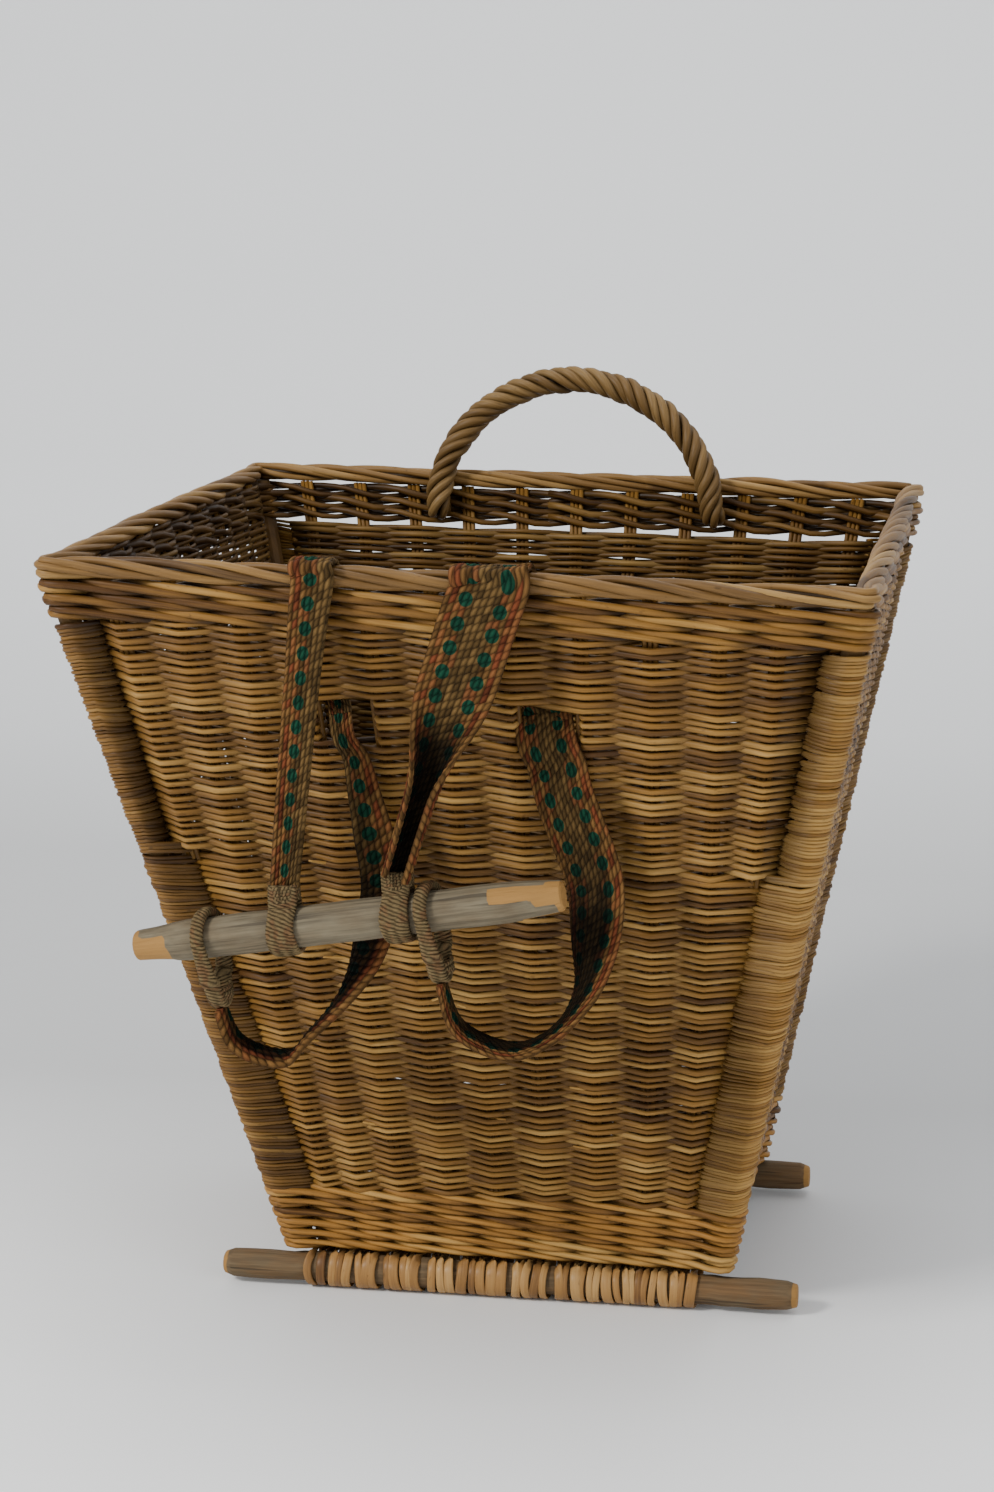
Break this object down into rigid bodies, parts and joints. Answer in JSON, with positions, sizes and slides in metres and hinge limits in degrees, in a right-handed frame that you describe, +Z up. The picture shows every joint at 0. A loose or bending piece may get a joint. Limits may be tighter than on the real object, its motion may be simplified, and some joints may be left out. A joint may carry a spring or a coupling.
{
  "type": "rear bicycle basket",
  "caption": "Square flared willow carrier basket with bow handle, two lashed runners and webbing straps over the rim joined by a toggle stick.",
  "frame": {"origin": "on the ground, under the middle of the bounding box", "axes": "+Z up; -Y is the strapped front wall, +X to its right, the bow handle is at +Y"},
  "size_m": [0.491, 0.4746, 0.5721],
  "materials": {
    "willow_weave": "satin",
    "willow_waling": "satin",
    "willow_border": "matte",
    "cane": "satin",
    "bark_stick": "matte",
    "grey_stick": "matte",
    "webbing": "matte"
  },
  "bodies": {
    "basket": {"front_weave_lower": "willow_weave", "front_weave_slot_left": "willow_weave", "front_weave_slot_middle": "willow_weave", "front_weave_slot_right": "willow_weave", "front_weave_upper": "willow_weave", "right_weave": "willow_weave", "back_weave": "willow_weave", "left_weave": "willow_weave", "front_foot_waling": "willow_waling", "front_rim_waling": "willow_waling", "front_border": "willow_border", "right_foot_waling": "willow_waling", "right_rim_waling": "willow_waling", "right_border": "willow_border", "back_foot_waling": "willow_waling", "back_rim_waling": "willow_waling", "back_border": "willow_border", "left_foot_waling": "willow_waling", "left_rim_waling": "willow_waling", "left_border": "willow_border", "front_left_post": "willow_weave", "front_right_post": "willow_weave", "back_right_post": "willow_weave", "back_left_post": "willow_weave", "bottom_weave": "willow_waling", "front_base_stick": "willow_waling", "front_runner": "bark_stick", "front_lashing": "cane", "rear_base_stick": "willow_waling", "rear_runner": "bark_stick", "rear_lashing": "cane", "bow_handle": "willow_waling", "left_strap_over_rim": "webbing", "left_strap_lower": "webbing", "right_strap_over_rim": "webbing", "right_strap_lower": "webbing"},
    "hanging_straps": {"toggle_stick": "grey_stick", "left_strap_hanging": "webbing", "left_eye": "webbing", "left_strap_tail": "webbing", "right_strap_hanging": "webbing", "right_eye": "webbing", "right_strap_tail": "webbing"},
    "left_loop": {"left_slip_loop": "webbing"},
    "right_loop": {"right_slip_loop": "webbing"}
  },
  "joints": [
    {"name": "strap_swing", "type": "hinge", "parent": "basket", "child": "hanging_straps", "pos_m": [0.028, -0.21956, 0.49989], "axis": [-0.9996, 0, 0.029], "range_deg": [-8, 90], "deforming": ["left_strap_lower", "right_strap_lower"]},
    {"name": "left_loop_slide", "type": "slide", "parent": "hanging_straps", "child": "left_loop", "axis": [-0.9885, 0, -0.1512], "range_m": [-0.032, 0.056], "deforming": ["left_strap_tail"]},
    {"name": "right_loop_slide", "type": "slide", "parent": "hanging_straps", "child": "right_loop", "axis": [0.9885, 0, 0.1512], "range_m": [-0.003, 0.088], "deforming": ["right_strap_tail"]}
  ]
}
